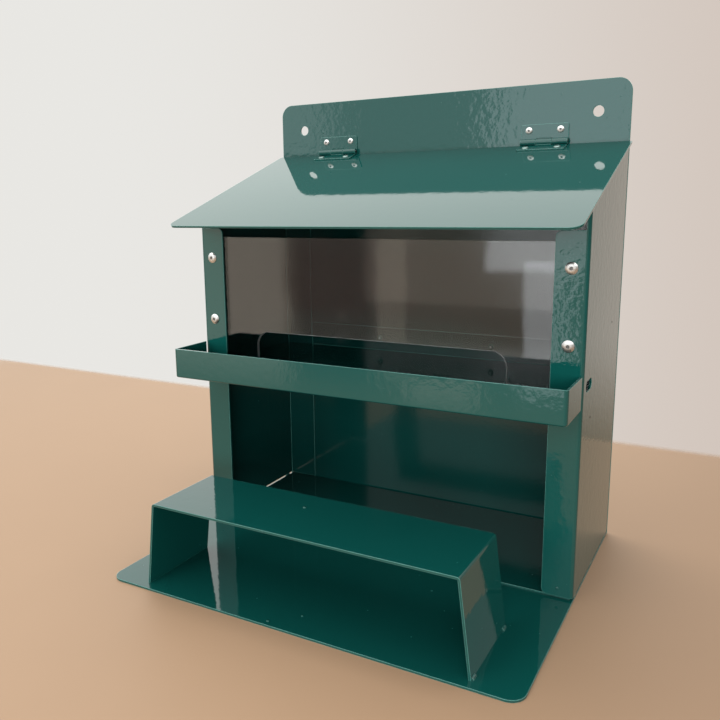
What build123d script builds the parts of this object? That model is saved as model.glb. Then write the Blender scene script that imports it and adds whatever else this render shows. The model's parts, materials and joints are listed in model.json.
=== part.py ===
"""Wall-mounted bird feeder in folded, powder-coated sheet metal.

Frame: X to the right, Y to the rear (the wall side), Z up, in millimetres.
The origin lies on the underside of the base plate, midway between the side
panels, in the plane of the front faces of the two front posts.
"""

import math
import os

from build123d import *

os.makedirs("parts", exist_ok=True)

# Sheet and general clearances
sheet = 1.5
bend_outside = 2.4
bend_inside = bend_outside - sheet
moving_gap = 0.3
seam_gap = 0.4

# Cabinet
box_width = 300.0
back_face_y = 123.0
back_height = 350.0
back_corner = 10.0
post_width = 21.0
post_top_drop = 104.5
post_corner = 4.0
rear_flange_width = 28.0
rear_flange_drop = 7.5
side_foot_gap = 1.6

# Base plate, floor liner
base_reach = 119.5
base_corner = 10.0
floor_sheet = 1.0
floor_side_gap = 0.9

# Roof lid
lid_side_reach = 2.0
lid_front_reach = 37.4
lid_fall = 56.9
lid_back_drop = 44.5
lid_front_corner = 8.0
lid_back_corner = 2.0
lid_tail = 0.9

# Hinges
hinge_side_inset = 60.0
hinge_shift = -1.7
hinge_width = 36.0
knuckle_radius = 2.4
knuckle_count = 3
knuckle_gap = 0.4
pin_radius = 1.2
pin_clearance = 0.05
pin_overhang = 0.4
leaf_sheet = 1.0
leaf_reach = 13.2
leaf_corner = 1.5
leaf_knuckle_gap = 0.6

# Pop rivets: head radius, head height, shank radius, bulb radius, bulb length
small_rivet = dict(head=2.6, height=1.0, shank=1.6, bulb=2.3, bulb_length=1.5)
large_rivet = dict(head=4.0, height=1.5, shank=2.0, bulb=3.0, bulb_length=3.2)
rivet_bore_share = 0.6
rivet_hole_gap = 0.05
mandrel_sink = 0.35
hinge_rivet_spacing = 24.0
hinge_rivet_offset = 8.7
window_rivet_drops = (16.2, 65.2)
tray_rivet_inset = 99.0
tray_rivet_lift = 11.0

# Wall fixing holes in the back plate
wall_hole_radius = 4.0
wall_hole_inset = 23.0
wall_hole_drop = 22.5

# Window pane with its feed arch
pane_thickness = 3.0
pane_top_drop = 6.8
pane_side_gap = 1.5
arch_side_inset = 50.0
arch_top = 166.0
arch_corner = 11.0

# Feed tray
tray_z = 132.5
tray_reach = 39.6
tray_lip = 22.4
tray_return_gap = 2.0
tray_side_inset = 0.5
tray_post_gap = 1.5

# Slots in the side panels, just above the tray
side_slot_length = 18.0
side_slot_height = 7.6
side_slot_y = 17.2
side_slot_z = 146.0

# Bench in front of the cabinet
bench_top_inset = 38.2
bench_foot_inset = 30.5
bench_height = 60.5
bench_front_margin = 6.5
bench_depth = 64.0

# Weld tacks
tack_length = 5.0
tack_size = 1.3

# Derived positions
base_top = sheet
half_box = box_width / 2
lid_width = box_width + 2 * lid_side_reach
lid_front_y = -lid_front_reach
lid_back_z = back_height - lid_back_drop
lid_front_z = lid_back_z - lid_fall
post_top = back_height - post_top_drop
rear_flange_top = lid_back_z - rear_flange_drop
pane_top = post_top - pane_top_drop
arch_width = box_width - 2 * arch_side_inset
tray_width = box_width - 2 * tray_side_inset
bench_top_width = box_width - 2 * bench_top_inset
bench_foot_width = box_width - 2 * bench_foot_inset
bench_front_y = bench_front_margin - base_reach
hinge_spread = half_box - hinge_side_inset
hinge_centers = [hinge_shift - hinge_spread, hinge_shift + hinge_spread]
window_rivet_x = half_box - post_width / 2
tray_rivet_x = half_box - tray_rivet_inset
wall_hole_x = half_box - wall_hole_inset
wall_hole_z = back_height - wall_hole_drop
web_inner = half_box - sheet
back_rear_y = back_face_y + sheet
rear_flange_face = back_face_y - sheet
slope = math.atan((lid_back_z - lid_front_z) / (back_face_y - lid_front_y))
standoff = knuckle_radius + moving_gap
axis_y = back_face_y - standoff
axis_z = lid_back_z - standoff * math.tan(slope) + standoff / math.cos(slope)
lid_nose = (lid_front_y - axis_y - standoff * math.sin(slope)) / math.cos(slope)
side_foot = base_top + side_foot_gap
tray_floor_top = tray_z + sheet
tray_rivet_z = tray_floor_top + tray_rivet_lift
pane_front = sheet
pane_rear = pane_front + pane_thickness
pane_foot = tray_floor_top + seam_gap
hinge_rivet_z = axis_z + hinge_rivet_offset
post_inner = half_box - post_width
window_rivet_points = [
    (side * window_rivet_x, pane_top - drop) for side in (-1, 1) for drop in window_rivet_drops
]
hinge_rivet_xs = [
    center + step * hinge_rivet_spacing / 2 for center in hinge_centers for step in (-1, 1)
]

# The lid's own plane: origin on the hinge axis, x along the axis, y up the slope
lid_plane = Plane(
    origin=(0, axis_y, axis_z),
    x_dir=(1, 0, 0),
    z_dir=(0, -math.sin(slope), math.cos(slope)),
)
lid_top_plane = lid_plane.offset(-standoff)
leaf_top_plane = lid_plane.offset(-standoff + leaf_sheet)


def front_plane(y, flip=False):
    """Upright plane at depth y, facing the front (or the rear), with x to the right."""
    facing = 1 if flip else -1
    return Plane(origin=(0, y, 0), x_dir=(-facing, 0, 0), z_dir=(0, facing, 0))


def side_panel(side):
    """One folded side: front post, web, rear flange, sloping top and a slot."""
    outer = side * half_box
    inner = side * web_inner
    post_edge = side * post_inner
    flange_edge = side * (half_box - rear_flange_width)
    with BuildPart() as panel:
        with BuildSketch(Plane.XY.offset(side_foot)) as profile:
            with BuildLine():
                Polyline(
                    (post_edge, 0),
                    (outer, 0),
                    (outer, back_face_y),
                    (flange_edge, back_face_y),
                    (flange_edge, rear_flange_face),
                    (inner, rear_flange_face),
                    (inner, sheet),
                    (post_edge, sheet),
                    close=True,
                )
            make_face()
            corners = profile.vertices()
            fillet([v for v in corners if abs(v.X - outer) < 0.01], bend_outside)
            fillet([v for v in corners if abs(v.X - inner) < 0.01], bend_inside)
        extrude(amount=lid_back_z - side_foot)
        # Everything above the closed lid's underside goes.
        with BuildSketch(Plane.YZ.offset(-half_box - 1)):
            with BuildLine():
                start = lid_plane.from_local_coords(
                    (0, lid_nose, -standoff - sheet - moving_gap)
                )
                finish = lid_plane.from_local_coords(
                    (0, standoff, -standoff - sheet - moving_gap)
                )
                Polyline(
                    (start.Y, start.Z),
                    (finish.Y, finish.Z),
                    (finish.Y, back_height),
                    (start.Y, back_height),
                    close=True,
                )
            make_face()
        extrude(amount=box_width + 2, mode=Mode.SUBTRACT)
        # The post and the rear flange stop lower than the web.
        with BuildSketch(Plane.XZ):
            with Locations((side * (post_inner + half_box - bend_outside) / 2, back_height)):
                Rectangle(
                    post_width - bend_outside,
                    2 * (back_height - post_top),
                )
        extrude(amount=-sheet, mode=Mode.SUBTRACT)
        with BuildSketch(front_plane(back_face_y, flip=True)):
            with Locations((-side * (half_box - bend_outside - rear_flange_width / 2), back_height)):
                Rectangle(
                    rear_flange_width,
                    2 * (back_height - rear_flange_top),
                )
        extrude(amount=-sheet, mode=Mode.SUBTRACT)
        post_edges = (
            panel.edges()
            .filter_by(Axis.Y)
            .filter_by(lambda e: abs(e.center().X - post_edge) < 0.01 and e.center().Y < sheet)
        )
        fillet(post_edges, post_corner)
        # Slot through the web, and the rivet holes in the post.
        with BuildSketch(Plane.YZ.offset(side * (half_box + 1))):
            with Locations((side_slot_y, side_slot_z)):
                SlotOverall(side_slot_length, side_slot_height)
        extrude(amount=-side * (sheet + 2), mode=Mode.SUBTRACT)
        with BuildSketch(front_plane(-1)):
            for x, z in window_rivet_points:
                if x * side > 0:
                    with Locations((x, z)):
                        Circle(large_rivet["shank"] + rivet_hole_gap)
        extrude(amount=-(sheet + 2), mode=Mode.SUBTRACT)
    return panel


def rivet_set(places, kind, grip):
    """Blind rivets at the given planes: domed head with a bore, shank and bulb."""
    bore = kind["shank"] * rivet_bore_share
    with BuildPart() as rivets:
        for place in places:
            upright = Plane(origin=place.origin, x_dir=place.x_dir, z_dir=-place.y_dir)
            with BuildSketch(upright):
                with BuildLine():
                    Polyline(
                        (bore, kind["height"]),
                        (bore, -grip - kind["bulb_length"]),
                        (kind["bulb"] * 0.75, -grip - kind["bulb_length"]),
                        (kind["bulb"], -grip - kind["bulb_length"] / 2),
                        (kind["bulb"], -grip),
                        (kind["shank"], -grip),
                        (kind["shank"], 0),
                        (kind["head"], 0),
                        (kind["head"], kind["height"] * 0.25),
                    )
                    ThreePointArc(
                        (kind["head"], kind["height"] * 0.25),
                        (kind["head"] * 0.72, kind["height"] * 0.78),
                        (bore, kind["height"]),
                    )
                make_face()
            revolve(axis=Axis(place.origin, place.z_dir))
    return rivets


def mandrel_set(places, kind, grip):
    """The snapped-off steel stems left in the bores of a set of rivets."""
    bore = kind["shank"] * rivet_bore_share
    with BuildPart() as stems:
        for place in places:
            with BuildSketch(place.offset(kind["height"] - mandrel_sink)):
                Circle(bore)
            extrude(amount=-(kind["height"] - mandrel_sink + grip + kind["bulb_length"]))
    return stems


def knuckle_spans(center):
    """Start and length along the axis of each knuckle of one hinge."""
    length = (hinge_width - (knuckle_count - 1) * knuckle_gap) / knuckle_count
    first = center - hinge_width / 2
    return [(first + i * (length + knuckle_gap), length) for i in range(knuckle_count)]


def hinge_leaf(center, frame, kept, back_offset):
    """One leaf: a holed plate along the frame's y direction, rolled into knuckles.

    The frame's origin is on the hinge axis, its x runs along the axis and its z
    points away from the plate the leaf lies on. kept lists the knuckles it owns.
    """
    spans = knuckle_spans(center)
    with BuildPart() as leaf:
        with BuildSketch(frame.offset(-back_offset)) as plate:
            with Locations((center, leaf_reach / 2)):
                Rectangle(hinge_width, leaf_reach)
            far = plate.vertices().filter_by(lambda v: v.Y > leaf_reach / 2)
            fillet(far, leaf_corner)
            for i, (first, length) in enumerate(spans):
                if i not in kept:
                    with Locations((first + length / 2, 0)):
                        Rectangle(
                            length + 2 * knuckle_gap,
                            2 * (knuckle_radius + leaf_knuckle_gap),
                            mode=Mode.SUBTRACT,
                        )
            for step in (-1, 1):
                with Locations((center + step * hinge_rivet_spacing / 2, hinge_rivet_offset)):
                    Circle(small_rivet["shank"] + rivet_hole_gap, mode=Mode.SUBTRACT)
        extrude(amount=leaf_sheet)
        across = Plane(origin=frame.origin, x_dir=frame.y_dir, z_dir=frame.x_dir)
        for i in kept:
            first, length = spans[i]
            with BuildSketch(across.offset(first)):
                Circle(knuckle_radius)
            extrude(amount=length)
            with BuildSketch(across.offset(first)):
                Circle(pin_radius + pin_clearance)
            extrude(amount=length, mode=Mode.SUBTRACT)
    return leaf


# Base plate: flat, rounded front corners, standing out in front of the cabinet.
with BuildPart() as base_plate:
    with BuildSketch() as outline:
        with Locations((0, (back_rear_y - base_reach) / 2)):
            Rectangle(box_width, back_rear_y + base_reach)
        fillet(outline.vertices().group_by(Axis.Y)[0], base_corner)
    extrude(amount=sheet)

# Floor liner: a thin sheet lying on the base plate inside the cabinet.
with BuildPart() as floor_panel:
    with BuildSketch(Plane.XY.offset(base_top)):
        with Locations((0, (sheet + seam_gap + rear_flange_face - seam_gap) / 2)):
            Rectangle(
                2 * (web_inner - floor_side_gap),
                rear_flange_face - sheet - 2 * seam_gap,
            )
    extrude(amount=floor_sheet)

left_side_panel = side_panel(-1)
right_side_panel = side_panel(1)

# Back plate: rises above the lid, with the two wall holes in its upper corners.
with BuildPart() as back_plate:
    with BuildSketch(front_plane(back_face_y)) as outline:
        with Locations((0, (base_top + back_height) / 2)):
            Rectangle(box_width, back_height - base_top)
        fillet(outline.vertices().group_by(Axis.Y)[-1], back_corner)
        for side in (-1, 1):
            with Locations((side * wall_hole_x, wall_hole_z)):
                Circle(wall_hole_radius, mode=Mode.SUBTRACT)
            with Locations((side * tray_rivet_x, tray_rivet_z)):
                Circle(small_rivet["shank"] + rivet_hole_gap, mode=Mode.SUBTRACT)
        for x in hinge_rivet_xs:
            with Locations((x, hinge_rivet_z)):
                Circle(small_rivet["shank"] + rivet_hole_gap, mode=Mode.SUBTRACT)
    extrude(amount=-sheet)

# Roof lid: one flat sloping sheet hung from the two hinges.
with BuildPart() as roof_lid:
    with BuildSketch(lid_top_plane) as outline:
        with Locations((0, (lid_nose + lid_tail) / 2)):
            Rectangle(lid_width, lid_tail - lid_nose)
        fillet(outline.vertices().group_by(Axis.Y)[0], lid_front_corner)
        fillet(outline.vertices().group_by(Axis.Y)[-1], lid_back_corner)
        for x in hinge_rivet_xs:
            with Locations((x, -hinge_rivet_offset)):
                Circle(small_rivet["shank"] + rivet_hole_gap, mode=Mode.SUBTRACT)
    extrude(amount=-sheet)

# Window: clear sheet behind the posts, cut away below as a feed arch.
with BuildPart() as window_pane:
    with BuildSketch(front_plane(pane_front)):
        with Locations((0, (pane_foot + pane_top) / 2)):
            Rectangle(2 * (web_inner - pane_side_gap), pane_top - pane_foot)
        with Locations((0, arch_top / 2)):
            RectangleRounded(arch_width, arch_top, arch_corner, mode=Mode.SUBTRACT)
        for x, z in window_rivet_points:
            with Locations((x, z)):
                Circle(large_rivet["shank"] + rivet_hole_gap, mode=Mode.SUBTRACT)
    extrude(amount=-pane_thickness)

# Feed tray: floor notched round the posts, upturned front lip, end returns and
# a narrower rear flange riveted to the back plate.
with BuildPart() as feed_tray:
    front_y = -tray_reach
    return_y = -tray_return_gap
    inside_y = pane_front + seam_gap
    rear_y = back_face_y
    wing_y = rear_flange_face - seam_gap
    half_tray = tray_width / 2
    half_neck = post_inner - tray_post_gap
    half_shelf = web_inner - seam_gap
    half_flange = half_box - rear_flange_width - seam_gap
    with BuildSketch(Plane.XY.offset(tray_z)):
        with Locations((0, (front_y + return_y) / 2)):
            Rectangle(tray_width, return_y - front_y)
        with Locations((0, (return_y + inside_y) / 2)):
            Rectangle(2 * half_neck, inside_y - return_y)
        with Locations((0, (inside_y + wing_y) / 2)):
            Rectangle(2 * half_shelf, wing_y - inside_y)
        with Locations((0, (wing_y + rear_y) / 2)):
            Rectangle(2 * half_flange, rear_y - wing_y)
    extrude(amount=tray_lip)
    # The room inside the lips: open above, and open to the rear past the neck.
    with BuildSketch(Plane.XY.offset(tray_floor_top)):
        with Locations((0, (front_y + sheet + return_y) / 2)):
            Rectangle(tray_width - 2 * sheet, return_y - front_y - sheet)
        with Locations((0, (return_y + inside_y) / 2)):
            Rectangle(2 * half_neck, inside_y - return_y)
        with Locations((0, (inside_y + wing_y) / 2)):
            Rectangle(2 * half_shelf, wing_y - inside_y)
        with Locations((0, (wing_y + rear_flange_face) / 2)):
            Rectangle(2 * half_flange, rear_flange_face - wing_y)
    extrude(amount=tray_lip, mode=Mode.SUBTRACT)
    with BuildSketch(front_plane(rear_y, flip=True)):
        for side in (-1, 1):
            with Locations((side * tray_rivet_x, tray_rivet_z)):
                Circle(small_rivet["shank"] + rivet_hole_gap)
    extrude(amount=-sheet, mode=Mode.SUBTRACT)
    upright = feed_tray.edges().filter_by(Axis.Z)
    fillet(upright.filter_by(lambda e: e.center().Y < front_y + 0.01), bend_outside)
    low = feed_tray.edges().filter_by(Axis.X).group_by(Axis.Z)[0]
    fillet(low.filter_by(lambda e: e.center().Y < front_y + bend_outside), sheet * 0.8)

# Bench: an inverted trough with splayed legs, open to the front and the rear.
with BuildPart() as bench_step:
    foot = bench_foot_width / 2
    shoulder = bench_top_width / 2
    splay = math.atan((foot - shoulder) / bench_height)
    skew = sheet / math.cos(splay)
    with BuildSketch(front_plane(bench_front_y)) as trough:
        with BuildLine():
            Polyline(
                (-foot, base_top),
                (-shoulder, base_top + bench_height),
                (shoulder, base_top + bench_height),
                (foot, base_top),
                (foot - skew, base_top),
                (shoulder - skew + sheet * math.tan(splay), base_top + bench_height - sheet),
                (-shoulder + skew - sheet * math.tan(splay), base_top + bench_height - sheet),
                (-foot + skew, base_top),
                close=True,
            )
        make_face()
        raised = trough.vertices().group_by(Axis.Y)
        fillet(raised[-1], bend_outside)
        fillet(raised[-2], bend_inside)
    extrude(amount=-bench_depth)

# Hinges: a leaf on the back plate, a leaf on the lid and a pin, twice over.
wall_frame = Plane(origin=(0, axis_y, axis_z), x_dir=(1, 0, 0), z_dir=(0, -1, 0))
lid_frame = Plane(
    origin=(0, axis_y, axis_z),
    x_dir=(-1, 0, 0),
    z_dir=(0, -math.sin(slope), math.cos(slope)),
)
outer_knuckles = [i for i in range(knuckle_count) if i % 2 == 0]
inner_knuckles = [i for i in range(knuckle_count) if i % 2 == 1]

left_center, right_center = hinge_centers
left_hinge_wall_leaf = hinge_leaf(left_center, wall_frame, outer_knuckles, standoff)
right_hinge_wall_leaf = hinge_leaf(right_center, wall_frame, outer_knuckles, standoff)
left_hinge_lid_leaf = hinge_leaf(-left_center, lid_frame, inner_knuckles, standoff)
right_hinge_lid_leaf = hinge_leaf(-right_center, lid_frame, inner_knuckles, standoff)


def hinge_pin(center):
    """Plain pin through the knuckles of one hinge."""
    start = center - hinge_width / 2 - pin_overhang
    with BuildPart() as pin:
        with BuildSketch(Plane(origin=(start, axis_y, axis_z), z_dir=(1, 0, 0))):
            Circle(pin_radius)
        extrude(amount=hinge_width + 2 * pin_overhang)
        fillet(pin.edges().filter_by(GeomType.CIRCLE), pin_overhang * 0.6)
    return pin


left_hinge_pin = hinge_pin(left_center)
right_hinge_pin = hinge_pin(right_center)

# Rivets, one group for each row of identical ones, and their snapped stems
window_places = [
    Plane(origin=(x, 0, z), x_dir=(1, 0, 0), z_dir=(0, -1, 0)) for x, z in window_rivet_points
]
wall_leaf_places = [
    Plane(
        origin=(x, back_face_y - leaf_sheet, hinge_rivet_z),
        x_dir=(1, 0, 0),
        z_dir=(0, -1, 0),
    )
    for x in hinge_rivet_xs
]
lid_leaf_places = [
    Plane(
        origin=leaf_top_plane.from_local_coords((x, -hinge_rivet_offset, 0)),
        x_dir=(1, 0, 0),
        z_dir=lid_plane.z_dir,
    )
    for x in hinge_rivet_xs
]
tray_places = [
    Plane(
        origin=(side * tray_rivet_x, rear_flange_face, tray_rivet_z),
        x_dir=(1, 0, 0),
        z_dir=(0, -1, 0),
    )
    for side in (-1, 1)
]
window_grip = sheet + pane_thickness
leaf_grip = leaf_sheet + sheet
tray_grip = 2 * sheet

window_rivets = rivet_set(window_places, large_rivet, window_grip)
window_rivet_stems = mandrel_set(window_places, large_rivet, window_grip)
hinge_wall_rivets = rivet_set(wall_leaf_places, small_rivet, leaf_grip)
hinge_wall_rivet_stems = mandrel_set(wall_leaf_places, small_rivet, leaf_grip)
hinge_lid_rivets = rivet_set(lid_leaf_places, small_rivet, leaf_grip)
hinge_lid_rivet_stems = mandrel_set(lid_leaf_places, small_rivet, leaf_grip)
tray_rivets = rivet_set(tray_places, small_rivet, tray_grip)
tray_rivet_stems = mandrel_set(tray_places, small_rivet, tray_grip)

# Weld tacks along the outside of the bench's feet: small beads in the corner.
with BuildPart() as bench_weld_tacks:
    rise = tack_size
    for side in (-1, 1):
        for y in (bench_front_y + tack_size, bench_front_y + bench_depth - tack_length - tack_size):
            with BuildSketch(front_plane(y)):
                with BuildLine():
                    edge_top = (side * (foot - rise * math.tan(splay)), base_top + rise)
                    edge_foot = (side * foot, base_top)
                    edge_far = (side * (foot + rise), base_top)
                    Polyline(edge_top, edge_foot, edge_far)
                    ThreePointArc(
                        edge_far,
                        (side * (foot + rise * 0.55), base_top + rise * 0.65),
                        edge_top,
                    )
                make_face()
            extrude(amount=-tack_length)

# Weld tacks that carry the side panels a little above the base plate.
with BuildPart() as body_weld_tacks:
    for side in (-1, 1):
        for y in (6 * sheet, back_face_y / 2, back_face_y - 6 * sheet):
            with BuildSketch(Plane.XY.offset(base_top)):
                with Locations((side * (half_box - sheet / 2), y)):
                    Rectangle(sheet, tack_length)
            extrude(amount=side_foot_gap)

# Weld tacks between the tray's end returns and the fronts of the posts.
with BuildPart() as tray_weld_tacks:
    for side in (-1, 1):
        with BuildSketch(Plane.XY.offset(tray_z + sheet)):
            with Locations((side * (half_tray - sheet / 2 - bend_outside), -tray_return_gap / 2)):
                Rectangle(sheet, tray_return_gap)
        extrude(amount=tack_size)

nodes = {
    "base_plate": base_plate,
    "floor_panel": floor_panel,
    "left_side_panel": left_side_panel,
    "right_side_panel": right_side_panel,
    "back_plate": back_plate,
    "roof_lid": roof_lid,
    "window_pane": window_pane,
    "feed_tray": feed_tray,
    "bench_step": bench_step,
    "left_hinge_wall_leaf": left_hinge_wall_leaf,
    "right_hinge_wall_leaf": right_hinge_wall_leaf,
    "left_hinge_lid_leaf": left_hinge_lid_leaf,
    "right_hinge_lid_leaf": right_hinge_lid_leaf,
    "left_hinge_pin": left_hinge_pin,
    "right_hinge_pin": right_hinge_pin,
    "window_rivets": window_rivets,
    "window_rivet_stems": window_rivet_stems,
    "hinge_wall_rivets": hinge_wall_rivets,
    "hinge_wall_rivet_stems": hinge_wall_rivet_stems,
    "hinge_lid_rivets": hinge_lid_rivets,
    "hinge_lid_rivet_stems": hinge_lid_rivet_stems,
    "tray_rivets": tray_rivets,
    "tray_rivet_stems": tray_rivet_stems,
    "bench_weld_tacks": bench_weld_tacks,
    "body_weld_tacks": body_weld_tacks,
    "tray_weld_tacks": tray_weld_tacks,
}
for name, node in nodes.items():
    node.part.label = name
    export_step(node.part, f"parts/{name}.step")
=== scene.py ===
"""Dressed model of the wall-mounted bird feeder.

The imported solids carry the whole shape. This script adds small beads in the
paint and small bare spots, the finishes, the studio and the camera.
"""

import json
import math

import bpy
import numpy as np
from mathutils import Euler, Matrix, Vector


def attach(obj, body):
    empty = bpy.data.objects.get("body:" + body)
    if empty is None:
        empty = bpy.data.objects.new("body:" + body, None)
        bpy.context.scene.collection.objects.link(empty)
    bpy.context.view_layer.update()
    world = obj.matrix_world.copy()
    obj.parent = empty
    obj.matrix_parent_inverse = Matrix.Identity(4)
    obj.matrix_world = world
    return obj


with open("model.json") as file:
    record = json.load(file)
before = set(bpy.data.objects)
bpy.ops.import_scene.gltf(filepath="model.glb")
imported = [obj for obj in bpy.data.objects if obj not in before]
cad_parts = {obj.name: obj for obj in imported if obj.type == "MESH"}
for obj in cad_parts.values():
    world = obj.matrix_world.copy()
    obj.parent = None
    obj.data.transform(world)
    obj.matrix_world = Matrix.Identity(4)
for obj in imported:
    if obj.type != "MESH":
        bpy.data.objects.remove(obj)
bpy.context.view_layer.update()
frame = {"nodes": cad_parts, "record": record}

NODES = frame["nodes"]
MM = 0.001

# Camera: place in metres, turn in degrees, lens and picture centre in pixels
CAMERA_PLACE = (0.24279, -0.47813, 0.26457)
CAMERA_TURN = (78.85, 0.796, 29.426)
FOCAL_PX = 757.6
CENTRE_PX = (335.25, 351.28)
FRAME_PX = 720.0
SENSOR_MM = 36.0

# Colours of paints and metals
PAINT_GREEN = (0.0020, 0.0360, 0.0315)
PAINT_DEEP = (0.0012, 0.0290, 0.0255)
# Painted shade for the faces inside the cabinet
PAINT_INSIDE_SHADE = (0.0010, 0.0190, 0.0170)
# Pale edge colour: partly thin paint at the edges, partly painted highlight
EDGE_THIN_PAINT_AND_HIGHLIGHT = (0.085, 0.24, 0.215)
ALUMINIUM = (0.80, 0.80, 0.79)
RIVET_DULL_GREY_GREEN = (0.26, 0.36, 0.34)
STEEL = (0.20, 0.20, 0.20)
PIN_STEEL = (0.10, 0.13, 0.12)
BARE_SPOT = (0.035, 0.022, 0.015)
CLEAR = (0.97, 0.985, 0.98)

# Ripple and tone of the coat
FINE_TIMES = 3.1
COAT_FINE_SHARE = 0.25
DRIFT_SCALE = 14.0
COAT_DRIFT = 0.5
COAT_SPECKS = 70.0
SPECK_RIM = (0.030, 0.045)
SPECK_DULL = 0.25
COAT_IOR = 1.55

# Pale rounded edges, partly thin paint and partly painted highlight: rounding in metres, turn of the
# normal from none to full, strength
EDGE_ROUND = 0.0006
EDGE_SAMPLES = 6
EDGE_TURN = (0.995, 0.80)
EDGE_SHARE = 0.75

# The coat inside the cabinet: painted shade in a darker colour, calmer and duller; how calm and
# dull it is, and in metres where it starts and is full, across the sides, the front, the back and the
# top
INSIDE_CALM = 0.8
INSIDE_DULL = 0.07
INSIDE_SIDES = (0.1495, 0.1488)
INSIDE_FRONT = (0.0018, 0.0030)
INSIDE_BACK = (0.1239, 0.1233)
INSIDE_TOP = (0.3080, 0.3020)

# Rivet metal
RIVET_DEEP = 0.7
RIVET_DRIFT = 0.7
RIVET_FINE_SHARE = 0.5
RIVET_RIPPLE_TIMES = 6.0
RIVET_HEIGHT = 0.00003
RIVET_DULL = 0.15

# Clear sheet: roughness of sawn edges and faces, chosen by how far a face looks to the front
SAWN_TO_PLAIN = (0.5, 0.012)
FACING_FRONT = (0.3, 0.9)
CLEAR_RIPPLE = 18.0
CLEAR_FINE_SHARE = 0.1
CLEAR_HEIGHT = 0.00012
CLEAR_IOR = 1.49

# Beads in the paint and bare spots: place, outward way, radius and height, all in millimetres
FRONT_WAY, UP_WAY, RIGHT_WAY, LEFT_WAY = (0, -1, 0), (0, 0, 1), (1, 0, 0), (-1, 0, 0)
PAINT_BEADS = (
    ((-107.4, 123.0, 325.0), FRONT_WAY, 0.9, 0.35),
    ((-14.8, -69.4, 62.0), UP_WAY, 1.3, 0.8),
    ((-19.0, -113.0, 61.0), FRONT_WAY, 0.9, 0.8),
    ((-15.8, -115.0, 1.5), UP_WAY, 1.1, 0.7),
    ((0.4, -99.6, 1.5), UP_WAY, 0.7, 0.25),
    ((139.6, 0.0, 8.6), FRONT_WAY, 1.1, 0.6),
    ((-141.0, 0.0, 12.0), FRONT_WAY, 0.8, 0.3),
    ((62.0, -30.0, 1.5), UP_WAY, 0.8, 0.3),
)
SIDE_SPOTS = (
    ((150.0, 27.0, 122.0), RIGHT_WAY, 1.0, 0.12),
    ((150.0, 91.1, 176.7), RIGHT_WAY, 0.9, 0.12),
    ((-150.0, 31.0, 118.0), LEFT_WAY, 0.9, 0.12),
)
BEAD_RINGS, BEAD_AROUND = 5, 14
BEAD_FOOT = 0.3

# Floor, in metres: it fades out at both sides, behind and in front
FLOOR_PALE = (0.205, 0.130, 0.077)
FLOOR_DIM = (0.135, 0.080, 0.045)
FLOOR_DEEP = 0.93
FLOOR_DRIFT = 0.6
FLOOR_SPECKS = 5.0
FLOOR_ROUGHNESS = 0.6
FLOOR_DIM_START, FLOOR_DIM_FULL = 0.0, 0.45
FLOOR_REACH = 1.4
FLOOR_HALF_WIDTH = 0.85
FLOOR_REAR = 0.36
FLOOR_REAR_FADE = 0.02
FLOOR_FRONT = -0.40
FLOOR_FADE = 0.30

# Light of the room by direction
AIR_FRONT_LOW = (0.66, 0.55, 0.45)
AIR_FRONT_HIGH = (1.10, 1.12, 1.10)
AIR_FRONT_TOP = (2.5, 2.5, 2.45)
AIR_REAR_TOP = (1.70, 1.72, 1.66)
AIR_REAR_LEFT = (1.45, 1.50, 1.45)
AIR_REAR_RIGHT = (0.72, 0.62, 0.54)
AIR_REAR_GROUND = (0.34, 0.24, 0.16)
AIR_RIGHT = (0.22, 0.19, 0.16)
BACKDROP_LEFT = (0.81, 0.80, 0.77)
BACKDROP_RIGHT = (0.63, 0.54, 0.48)

# Where one light gives way to the next: the first two and the top by elevation in
# degrees, the others by the direction's own X or Y
HORIZON_STEP = (-1.0, 4.0)
GROUND_STEP = (-19.0, -9.0)
TOP_STEP = (16.0, 34.0)
REAR_RIGHT_STEP = (-0.30, 0.06)
REAR_STEP = (-0.15, 0.25)
RIGHT_STEP = (0.25, 0.75)
REAR_TOP_STEP = (-0.1, 0.45)
BACKDROP_STEP = (-0.75, 0.15)

# Each soft window or shade: middle azimuth from the front, half width, lowest and
# highest elevation, edge softness, all in degrees, then the light it adds
SOFT_BANDS = (
    (-38.5, 4.5, -30.0, 0.0, 1.5, (0.75, 0.68, 0.58)),
    (-29.5, 2.2, -15.0, 2.0, 1.5, (-0.25, -0.24, -0.18)),
    (-25.2, 0.8, -13.0, 2.0, 0.7, (0.40, 0.34, 0.28)),
    (-21.5, 2.3, -30.0, -14.0, 1.0, (1.25, 1.05, 0.92)),
    (-12.5, 5.2, -4.8, 14.0, 0.8, (1.55, 1.65, 1.75)),
    (-13.9, 1.3, -14.0, -4.8, 0.6, (1.45, 1.55, 1.65)),
    (-13.0, 3.0, -27.0, -17.0, 1.5, (0.35, 0.32, 0.28)),
    (-33.5, 3.0, 3.0, 16.0, 1.5, (0.75, 0.80, 0.80)),
)

# Soft lights: name, place, point aimed at, width, height, power, colour
LIGHTS = (
    ("key_light", (-0.9, -2.1, 0.75), (0, 0, 0.15), 1.2, 1.0, 38.0, (1.0, 0.98, 0.95)),
    ("fill_light", (0.85, -1.8, 0.35), (0, -0.05, 0.1), 0.8, 0.5, 46.0, (1.0, 0.98, 0.96)),
    ("ceiling_light", (-0.4, 0.7, 1.7), (0, 0, 0.25), 1.2, 1.2, 30.0, (1.0, 1.0, 1.0)),
)


# Small helpers for building node trees
def feed(tree, socket, value):
    """Gives a socket another node's output, a colour or a number."""
    if isinstance(value, bpy.types.NodeSocket):
        tree.links.new(value, socket)
    elif isinstance(value, tuple):
        socket.default_value = value + (1.0,)
    else:
        socket.default_value = value


def math_node(tree, operation, first, second=0.0):
    """One sum of two values, each a number or another node's output."""
    node = tree.nodes.new("ShaderNodeMath")
    node.operation = operation
    feed(tree, node.inputs[0], first)
    feed(tree, node.inputs[1], second)
    return node.outputs[0]


def product(tree, values):
    """All the values multiplied together."""
    total = values[0]
    for value in values[1:]:
        total = math_node(tree, "MULTIPLY", total, value)
    return total


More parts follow.
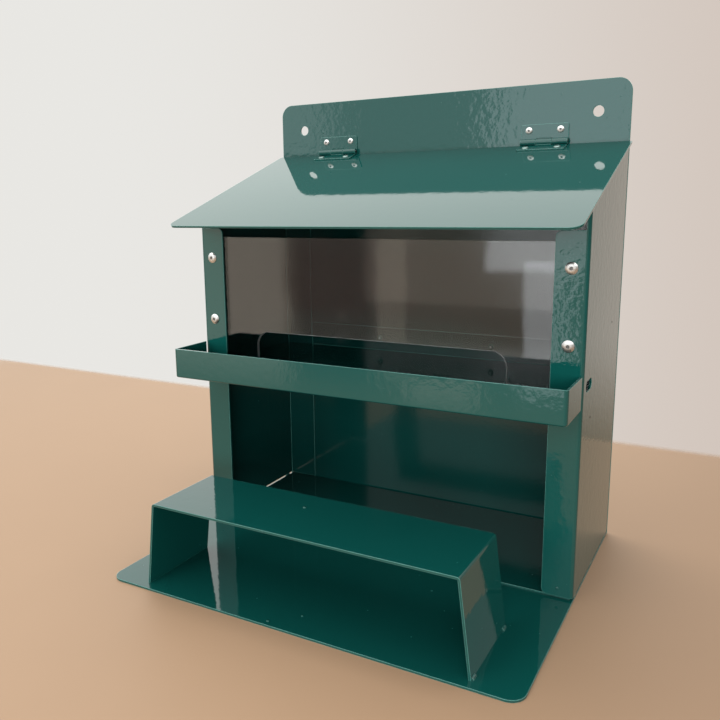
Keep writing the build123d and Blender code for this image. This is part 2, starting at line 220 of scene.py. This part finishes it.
def ramp(tree, value, span, results=(0.0, 1.0), shape="LINEAR"):
    """The first result before the span, the second after it, and a line between them."""
    node = tree.nodes.new("ShaderNodeMapRange")
    node.interpolation_type = shape
    for name, number in zip(("From Min", "From Max", "To Min", "To Max"), span + results):
        node.inputs[name].default_value = number
    feed(tree, node.inputs["Value"], value)
    return node.outputs[0]


def soft_step(tree, value, span):
    """0 before the span, 1 after it, and a smooth S between them."""
    return ramp(tree, value, span, shape="SMOOTHSTEP")


def mix(tree, share, under, over, kind="RGBA"):
    """Blends two colours, or two numbers when the kind is FLOAT, by a share."""
    node = tree.nodes.new("ShaderNodeMix")
    node.data_type = kind
    first, second, result = (6, 7, 2) if kind == "RGBA" else (2, 3, 0)
    feed(tree, node.inputs[0], share)
    feed(tree, node.inputs[first], under)
    feed(tree, node.inputs[second], over)
    return node.outputs[result]


def own_place(tree):
    """The point's place in the object's own coordinates."""
    return tree.nodes.new("ShaderNodeTexCoord").outputs["Object"]


def split_way(tree, vector):
    """The X, Y and Z of a vector, each as an output."""
    node = tree.nodes.new("ShaderNodeSeparateXYZ")
    feed(tree, node.inputs[0], vector)
    return node.outputs["X"], node.outputs["Y"], node.outputs["Z"]


def noise(tree, scale, detail):
    """Soft noise over the object's own coordinates."""
    node = tree.nodes.new("ShaderNodeTexNoise")
    node.inputs["Detail"].default_value = detail
    feed(tree, node.inputs["Vector"], own_place(tree))
    feed(tree, node.inputs["Scale"], scale)
    return node.outputs["Fac"]


def bumped(tree, height, distance, normal=None):
    """A normal tilted by a height; the distance is the height's full size in metres."""
    node = tree.nodes.new("ShaderNodeBump")
    node.inputs["Distance"].default_value = distance
    feed(tree, node.inputs["Height"], height)
    if normal is not None:
        feed(tree, node.inputs["Normal"], normal)
    return node.outputs["Normal"]


def add_socket(group, name, kind="NodeSocketFloat", way="INPUT", default=None):
    """Adds one named socket to a node group."""
    socket = group.interface.new_socket(name=name, in_out=way, socket_type=kind)
    if default is not None:
        feed(group, socket, default)


# Effects shared by several materials
def powder_ripple_group():
    """Height of a coat's fine ripple: broad soft noise with finer noise mixed in."""
    group = bpy.data.node_groups.new("powder_ripple", "ShaderNodeTree")
    add_socket(group, "Ripple Scale", default=260.0)
    add_socket(group, "Fine Share", default=COAT_FINE_SHARE)
    add_socket(group, "Height", way="OUTPUT")
    inside = group.nodes.new("NodeGroupInput").outputs
    outside = group.nodes.new("NodeGroupOutput").inputs
    scale = inside["Ripple Scale"]
    broad = noise(group, scale, 1.0)
    fine = noise(group, math_node(group, "MULTIPLY", scale, FINE_TIMES), 2.0)
    feed(group, outside["Height"], mix(group, inside["Fine Share"], broad, fine, "FLOAT"))
    return group


def powder_tone_group():
    """Colour with slow drifts from one tone to a deeper one, and a mask of rare small specks."""
    group = bpy.data.node_groups.new("powder_tone", "ShaderNodeTree")
    add_socket(group, "Paint", "NodeSocketColor", default=PAINT_GREEN)
    add_socket(group, "Deep", "NodeSocketColor", default=PAINT_DEEP)
    add_socket(group, "Drift", default=COAT_DRIFT)
    add_socket(group, "Speck Scale", default=COAT_SPECKS)
    add_socket(group, "Colour", "NodeSocketColor", "OUTPUT")
    add_socket(group, "Speck", way="OUTPUT")
    inside = group.nodes.new("NodeGroupInput").outputs
    outside = group.nodes.new("NodeGroupOutput").inputs
    amount = math_node(group, "MULTIPLY", noise(group, DRIFT_SCALE, 3.0), inside["Drift"])
    cells = group.nodes.new("ShaderNodeTexVoronoi")
    feed(group, cells.inputs["Vector"], own_place(group))
    feed(group, cells.inputs["Scale"], inside["Speck Scale"])
    feed(group, outside["Colour"], mix(group, amount, inside["Paint"], inside["Deep"]))
    feed(group, outside["Speck"], ramp(group, cells.outputs["Distance"], SPECK_RIM, (1.0, 0.0)))
    return group


RIPPLE = powder_ripple_group()
TONE = powder_tone_group()


def place_tone(tree, paint, deep, drift, specks):
    """Puts the shared tone in a material; returns its colour and its mask of specks."""
    node = tree.nodes.new("ShaderNodeGroup")
    node.node_tree = TONE
    for name, value in zip(("Paint", "Deep", "Drift", "Speck Scale"), (paint, deep, drift, specks)):
        feed(tree, node.inputs[name], value)
    return node.outputs["Colour"], node.outputs["Speck"]


def place_ripple(tree, scale, fine_share):
    """Puts the shared ripple in a material; returns its height."""
    node = tree.nodes.new("ShaderNodeGroup")
    node.node_tree = RIPPLE
    feed(tree, node.inputs["Ripple Scale"], scale)
    feed(tree, node.inputs["Fine Share"], fine_share)
    return node.outputs["Height"]


# Materials
def new_material(name):
    """An empty node material with its Principled shader."""
    material = bpy.data.materials.new(name)
    material.use_nodes = True
    tree = material.node_tree
    return material, tree, tree.nodes["Principled BSDF"]


def inside_share(tree):
    """1 on faces inside the cabinet, 0 outside: a product of soft steps across its walls."""
    x, y, z = split_way(tree, own_place(tree))
    return product(tree, (soft_step(tree, math_node(tree, "ABSOLUTE", x), INSIDE_SIDES),
                          soft_step(tree, y, INSIDE_FRONT),
                          soft_step(tree, y, INSIDE_BACK),
                          soft_step(tree, z, INSIDE_TOP)))


def powder_coat(name, paint=PAINT_GREEN, deep=PAINT_DEEP, ripple=210.0, height=0.00007,
                roughness=0.04, boxed=False):
    """Glossy green powder coat over sheet metal, a little round and pale at its edges.

    The pale share is how far the rounded normal leaves the flat one; the pale edges are
    partly thin paint and partly a painted highlight. With boxed set, the faces inside the
    cabinet get painted shade, a darker colour, and a calmer, duller coat.
    """
    material, tree, shader = new_material(name)
    colour, speck = place_tone(tree, paint, deep, COAT_DRIFT, COAT_SPECKS)
    waves = place_ripple(tree, ripple, COAT_FINE_SHARE)
    gloss = ramp(tree, speck, (0.0, 1.0), (roughness, roughness + SPECK_DULL))
    if boxed:
        inside = inside_share(tree)
        # Painted shade: the faces inside the cabinet take a darker colour
        colour = mix(tree, inside, colour, PAINT_INSIDE_SHADE)
        calm = math_node(tree, "SUBTRACT", 1.0, math_node(tree, "MULTIPLY", inside, INSIDE_CALM))
        waves = math_node(tree, "MULTIPLY", waves, calm)
        gloss = math_node(tree, "ADD", gloss, math_node(tree, "MULTIPLY", inside, INSIDE_DULL))
    rounded = tree.nodes.new("ShaderNodeBevel")
    rounded.samples = EDGE_SAMPLES
    rounded.inputs["Radius"].default_value = EDGE_ROUND
    flat = tree.nodes.new("ShaderNodeNewGeometry")
    alike = tree.nodes.new("ShaderNodeVectorMath")
    alike.operation = "DOT_PRODUCT"
    feed(tree, alike.inputs[0], flat.outputs["Normal"])
    feed(tree, alike.inputs[1], rounded.outputs["Normal"])
    # Pale edges, partly thin paint and partly painted highlight, where the rounded normal turns from
    # the flat one
    pale = math_node(tree, "MULTIPLY", soft_step(tree, alike.outputs["Value"], EDGE_TURN), EDGE_SHARE)
    feed(tree, shader.inputs["Base Color"], mix(tree, pale, colour, EDGE_THIN_PAINT_AND_HIGHLIGHT))
    feed(tree, shader.inputs["Roughness"], gloss)
    feed(tree, shader.inputs["Normal"], bumped(tree, waves, height, rounded.outputs["Normal"]))
    shader.inputs["IOR"].default_value = COAT_IOR
    return material


def rivet_metal(name, colour, roughness, scale):
    """Bare rivet metal: fine pressing marks and slightly uneven gloss."""
    material, tree, shader = new_material(name)
    deep = tuple(RIVET_DEEP * part for part in colour)
    toned, _ = place_tone(tree, colour, deep, RIVET_DRIFT, scale)
    waves = place_ripple(tree, scale * RIVET_RIPPLE_TIMES, RIVET_FINE_SHARE)
    gloss = ramp(tree, waves, (0.0, 1.0), (roughness, roughness + RIVET_DULL))
    feed(tree, shader.inputs["Base Color"], toned)
    feed(tree, shader.inputs["Roughness"], gloss)
    feed(tree, shader.inputs["Normal"], bumped(tree, waves, RIVET_HEIGHT))
    shader.inputs["Metallic"].default_value = 1.0
    return material


def clear_sheet(name):
    """Clear sheet: plain faces, and dull sawn edges that catch the light."""
    material, tree, shader = new_material(name)
    facing = tree.nodes.new("ShaderNodeNewGeometry").outputs["Normal"]
    frontward = math_node(tree, "ABSOLUTE", split_way(tree, facing)[1])
    waves = place_ripple(tree, CLEAR_RIPPLE, CLEAR_FINE_SHARE)
    feed(tree, shader.inputs["Roughness"], ramp(tree, frontward, FACING_FRONT, SAWN_TO_PLAIN))
    feed(tree, shader.inputs["Normal"], bumped(tree, waves, CLEAR_HEIGHT))
    feed(tree, shader.inputs["Base Color"], CLEAR)
    shader.inputs["Transmission Weight"].default_value = 1.0
    shader.inputs["IOR"].default_value = CLEAR_IOR
    return material


FINISHES = {
    "green_paint": powder_coat("green_powder_coat"),
    "hinge_paint": powder_coat("green_hinge_coat", ripple=420.0, height=0.00006, roughness=0.07),
    "painted_rivet": powder_coat("green_rivet_coat", paint=PAINT_DEEP, ripple=500.0, roughness=0.1),
    "painted_weld": powder_coat("green_weld_coat", ripple=900.0, height=0.00025, roughness=0.08),
    "clear_window": clear_sheet("clear_acrylic"),
    "rivet_aluminium": rivet_metal("rivet_aluminium", ALUMINIUM, 0.28, 300.0),
    "rivet_steel": rivet_metal("rivet_steel", STEEL, 0.35, 400.0),
    "hinge_pin": rivet_metal("hinge_pin_steel", PIN_STEEL, 0.3, 300.0),
}

for entry in frame["record"]["subparts"]:
    node = NODES[entry["node"]]
    node.data.materials.clear()
    node.data.materials.append(FINISHES[entry["material_slot"]])

# The large sheets differ: the sides and the back have a thicker, wavier coat, the lid a calm one
WAVY_PAINT = powder_coat("green_powder_coat_wavy", ripple=190.0, height=0.00017, boxed=True)
CALM_PAINT = powder_coat("green_powder_coat_calm", ripple=120.0)
OWN_FINISHES = {
    "left_side_panel": WAVY_PAINT,
    "right_side_panel": WAVY_PAINT,
    "back_plate": powder_coat("green_powder_coat_back", ripple=190.0, height=0.00014, boxed=True),
    "feed_tray": powder_coat("green_powder_coat_tray", boxed=True),
    "base_plate": CALM_PAINT,
    "bench_step": CALM_PAINT,
    # The floor panel inside the cabinet: painted shade, a darker green than the outer sheets
    "floor_panel": powder_coat("green_powder_coat_liner", paint=PAINT_DEEP, deep=PAINT_INSIDE_SHADE,
                               ripple=120.0),
    "roof_lid": powder_coat("green_powder_coat_roof", ripple=150.0, height=0.000025),
    # The rivets on the lid leaves: a duller, darker grey-green metal than the other rivets
    "hinge_lid_rivets": rivet_metal("rivet_dull_grey_green", RIVET_DULL_GREY_GREEN, 0.32, 300.0),
}
for name, material in OWN_FINISHES.items():
    NODES[name].data.materials[0] = material


# Beads in the paint and bare spots
def low_domes(name, body, marks, material):
    """Small beads of paint or bare spots, each a low dome on a sheet's face.

    A bead at angle t round and share s from rim to crown: its distance from
    the axis is radius times cos(s quarter turns) and its height is tallness
    times sin of the same, laid on the face whose outward normal is given. The
    foot is closed by one more point, sunk below the face.
    """
    points, faces = [], []
    turn = np.linspace(0, 2 * np.pi, BEAD_AROUND, endpoint=False)
    lift = np.linspace(0, np.pi / 2, BEAD_RINGS, endpoint=False)
    for place, normal, radius, tallness in marks:
        normal = np.array(normal, float)
        side = np.cross(normal, (1.0, 0.0, 0.0) if normal[2] else (0.0, 0.0, 1.0))
        cross = np.cross(normal, side)
        ring = np.cos(turn)[:, None] * side + np.sin(turn)[:, None] * cross
        dome = (radius * np.cos(lift)[:, None, None] * ring[None]
                + tallness * np.sin(lift)[:, None, None] * normal)
        ends = [tallness * normal, -BEAD_FOOT * tallness * normal]
        shape = np.concatenate([dome.reshape(-1, 3), ends])
        start = len(points)
        points.extend((shape + np.array(place)) * MM)
        grid = start + np.arange(BEAD_RINGS * BEAD_AROUND).reshape(BEAD_RINGS, BEAD_AROUND)
        ahead = np.roll(grid, -1, axis=1)
        quads = np.stack([grid[:-1], ahead[:-1], ahead[1:], grid[1:]], axis=-1).reshape(-1, 4)
        crown = start + grid.size
        foot = crown + 1
        faces.extend(quads.tolist())
        faces.extend([(a, b, crown) for a, b in zip(grid[-1].tolist(), ahead[-1].tolist())])
        faces.extend([(b, a, foot) for a, b in zip(grid[0].tolist(), ahead[0].tolist())])
    mesh = bpy.data.meshes.new(name)
    mesh.from_pydata([tuple(point) for point in points], [], faces)
    mesh.polygons.foreach_set("use_smooth", [True] * len(mesh.polygons))
    mesh.materials.append(material)
    piece = bpy.data.objects.new(name, mesh)
    bpy.context.scene.collection.objects.link(piece)
    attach(piece, body)


SPOT_METAL = rivet_metal("dark_bare_spot", BARE_SPOT, 0.5, 300.0)
low_domes("paint_beads", "cabinet", PAINT_BEADS, FINISHES["painted_weld"])
low_domes("bare_side_spots", "cabinet", SIDE_SPOTS, SPOT_METAL)


# Studio
def floor_finish():
    """Plain floor, dimmer to the right, that thins out to the backdrop away from the feeder."""
    material, tree, shader = new_material("pale_floor")
    deep = tuple(FLOOR_DEEP * part for part in FLOOR_PALE)
    toned, _ = place_tone(tree, FLOOR_PALE, deep, FLOOR_DRIFT, FLOOR_SPECKS)
    x, y, _ = split_way(tree, own_place(tree))
    dim = soft_step(tree, x, (FLOOR_DIM_START, FLOOR_DIM_FULL))
    sides = soft_step(tree, math_node(tree, "ABSOLUTE", x),
                      (FLOOR_HALF_WIDTH + FLOOR_FADE, FLOOR_HALF_WIDTH))
    rear = soft_step(tree, y, (FLOOR_REAR + FLOOR_REAR_FADE, FLOOR_REAR))
    front = soft_step(tree, y, (FLOOR_FRONT - FLOOR_FADE, FLOOR_FRONT))
    feed(tree, shader.inputs["Base Color"], mix(tree, dim, toned, FLOOR_DIM))
    feed(tree, shader.inputs["Alpha"], product(tree, (sides, rear, front)))
    shader.inputs["Roughness"].default_value = FLOOR_ROUGHNESS
    return material


def studio_floor():
    """One flat square, far wider than the part that shows."""
    corners = [(x * FLOOR_REACH, y * FLOOR_REACH, 0) for x, y in ((-1, -1), (1, -1), (1, 1), (-1, 1))]
    mesh = bpy.data.meshes.new("studio_floor")
    mesh.from_pydata(corners, [], [(0, 1, 2, 3)])
    mesh.materials.append(floor_finish())
    floor = bpy.data.objects.new("studio_floor", mesh)
    bpy.context.scene.collection.objects.link(floor)


def studio_air():
    """Backdrop for the camera, and a soft lit room for the gloss and the shadows.

    Room light by direction: dim and warm low in front, brighter above the
    horizon, bright behind on the left, dim behind on the right, and brightest
    overhead; then the soft windows, each a product of smooth steps.
    """
    world = bpy.data.worlds.new("studio_air")
    world.use_nodes = True
    tree = world.node_tree
    x, y, z = split_way(tree, tree.nodes.new("ShaderNodeTexCoord").outputs["Generated"])
    front = math_node(tree, "MULTIPLY", y, -1.0)
    azimuth = math_node(tree, "DEGREES", math_node(tree, "ARCTAN2", x, front))
    elevation = math_node(tree, "DEGREES", math_node(tree, "ARCSINE", z))
    fore = mix(tree, soft_step(tree, elevation, HORIZON_STEP), AIR_FRONT_LOW, AIR_FRONT_HIGH)
    low = mix(tree, soft_step(tree, elevation, GROUND_STEP), AIR_REAR_GROUND, AIR_REAR_RIGHT)
    rear = mix(tree, soft_step(tree, x, REAR_RIGHT_STEP), AIR_REAR_LEFT, low)
    room = mix(tree, soft_step(tree, y, REAR_STEP), fore, rear)
    room = mix(tree, soft_step(tree, x, RIGHT_STEP), room, AIR_RIGHT)
    top = mix(tree, soft_step(tree, y, REAR_TOP_STEP), AIR_FRONT_TOP, AIR_REAR_TOP)
    room = mix(tree, soft_step(tree, elevation, TOP_STEP), room, top)
    for middle, half, lowest, highest, soft, light in SOFT_BANDS:
        off = math_node(tree, "ABSOLUTE", math_node(tree, "SUBTRACT", azimuth, middle))
        mask = product(tree, (soft_step(tree, off, (half + soft, half)),
                              soft_step(tree, elevation, (lowest - soft, lowest)),
                              soft_step(tree, elevation, (highest + soft, highest))))
        lit = tree.nodes.new("ShaderNodeVectorMath")
        lit.operation = "MULTIPLY_ADD"
        lit.inputs[0].default_value = light
        feed(tree, lit.inputs[1], mask)
        feed(tree, lit.inputs[2], room)
        room = lit.outputs[0]
    seen = mix(tree, soft_step(tree, x, BACKDROP_STEP), BACKDROP_LEFT, BACKDROP_RIGHT)
    to_camera = tree.nodes.new("ShaderNodeLightPath").outputs["Is Camera Ray"]
    feed(tree, tree.nodes["Background"].inputs["Color"], mix(tree, to_camera, room, seen))
    bpy.context.scene.world = world


def soft_light(name, place, aim, width, height, power, colour):
    """One rectangular light; it lights, but shows neither in gloss nor through the clear sheet."""
    data = bpy.data.lights.new(name, "AREA")
    data.shape = "RECTANGLE"
    data.size, data.size_y = width, height
    data.energy = power
    data.color = colour
    light = bpy.data.objects.new(name, data)
    turn = (Vector(place) - Vector(aim)).to_track_quat("Z", "Y")
    light.matrix_world = Matrix.LocRotScale(Vector(place), turn, None)
    light.visible_glossy = False
    light.visible_transmission = False
    bpy.context.scene.collection.objects.link(light)


def place_camera():
    """The camera that stands where the photograph was taken from."""
    lens = bpy.data.cameras.new("photo_camera")
    lens.sensor_width = SENSOR_MM
    lens.lens = FOCAL_PX / FRAME_PX * SENSOR_MM
    lens.shift_x = (FRAME_PX / 2 - CENTRE_PX[0]) / FRAME_PX
    lens.shift_y = (CENTRE_PX[1] - FRAME_PX / 2) / FRAME_PX
    camera = bpy.data.objects.new("photo_camera", lens)
    turn = Euler([math.radians(angle) for angle in CAMERA_TURN])
    camera.matrix_world = Matrix.LocRotScale(Vector(CAMERA_PLACE), turn, None)
    bpy.context.scene.collection.objects.link(camera)
    bpy.context.scene.camera = camera


studio_floor()
studio_air()
for light in LIGHTS:
    soft_light(*light)
place_camera()
bpy.context.scene.view_settings.view_transform = "Standard"
